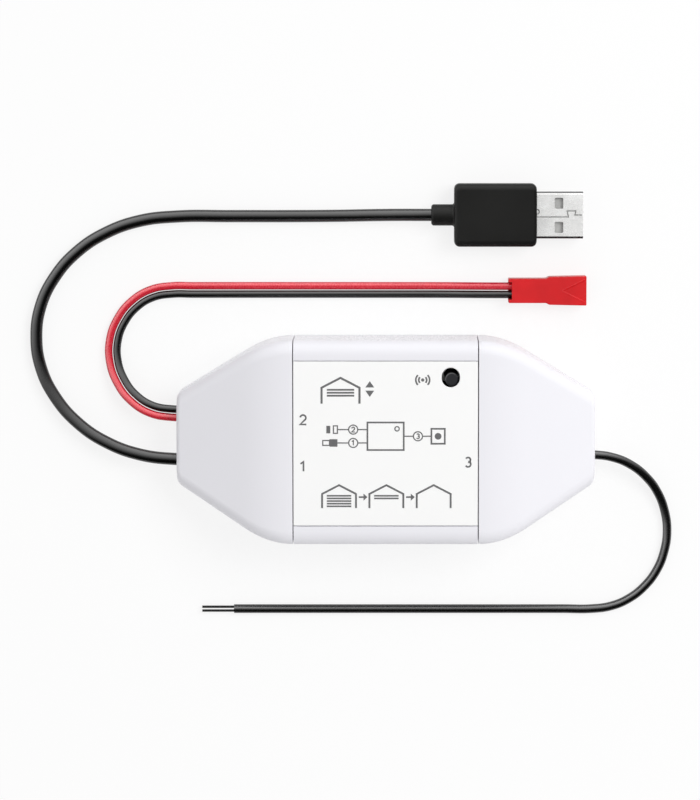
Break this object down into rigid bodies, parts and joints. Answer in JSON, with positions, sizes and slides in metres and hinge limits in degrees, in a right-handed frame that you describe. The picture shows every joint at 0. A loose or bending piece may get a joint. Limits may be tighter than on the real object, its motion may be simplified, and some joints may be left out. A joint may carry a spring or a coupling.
{
  "type": "garage door controller",
  "caption": "Flat white controller box with tapered end caps, a recessed push button, a USB power cord, a sensor lead with a red connector and a thin signal cable.",
  "frame": {"origin": "centre of the housing's back face", "axes": "+X along the housing towards the signal cable, +Y across it towards the USB plug, +Z out of the front face"},
  "size_m": [0.1662, 0.1118, 0.025],
  "materials": {
    "white_plastic": "fine satin, slightly cool white",
    "panel_plastic": "smooth satin, neutral white with grey print",
    "black_plastic": "satin",
    "button_plastic": "satin dark grey",
    "grey_plastic": "satin",
    "steel": "bright nickel plated",
    "tinned_metal": "tinned",
    "gold_metal": "gold plated",
    "aluminium_can": "satin",
    "board_laminate": "solder mask over glass laminate",
    "natural_plastic": "satin",
    "ceramic_chip": "fired ceramic",
    "cord_jacket": "smooth black jacket with a soft sheen",
    "red_jacket": "smooth red insulation",
    "overmold_rubber": "fine matte",
    "red_plastic": "moulded red plastic"
  },
  "bodies": {
    "housing": {"rear_base": "white_plastic", "front_cover": "white_plastic", "left_cap": "white_plastic", "right_cap": "white_plastic", "label_panel": "panel_plastic", "button_guide": "black_plastic", "relay_body": "black_plastic", "regulator_body": "black_plastic", "capacitor_bases": "black_plastic", "switch_base": "black_plastic", "smd_resistors": "black_plastic", "left_cord_clamp": "grey_plastic", "right_cord_clamp": "grey_plastic", "cap_screws": "steel", "board_screws": "steel", "clamp_screws": "steel", "wifi_shield": "steel", "switch_frame": "steel", "switch_dome": "steel", "usb_shell": "steel", "relay_leads": "tinned_metal", "regulator_leads": "tinned_metal", "switch_terminals": "tinned_metal", "sensor_contacts": "tinned_metal", "header_pins": "gold_metal", "usb_contacts": "gold_metal", "wifi_antenna": "gold_metal", "capacitor_cans": "aluminium_can", "circuit_board": "board_laminate", "wifi_board": "board_laminate", "board_headers": "natural_plastic", "lead_plugs": "natural_plastic", "usb_insulator": "natural_plastic", "status_led": "natural_plastic", "smd_capacitors": "ceramic_chip", "power_cord": "cord_jacket", "signal_cable": "cord_jacket", "sensor_wire_black": "cord_jacket", "signal_cores": "cord_jacket", "signal_inner_cores": "cord_jacket", "sensor_wire_red": "red_jacket", "power_cores": "red_jacket", "usb_overmold": "overmold_rubber", "sensor_connector": "red_plastic"},
    "button": {"push_button": "button_plastic"}
  },
  "joints": [
    {"name": "button_press", "type": "slide", "parent": "housing", "child": "button", "axis": [0, 0, -1], "range_m": [0, 0.00025], "stiffness_N_per_m": 6000, "deforming": ["switch_dome"]}
  ]
}
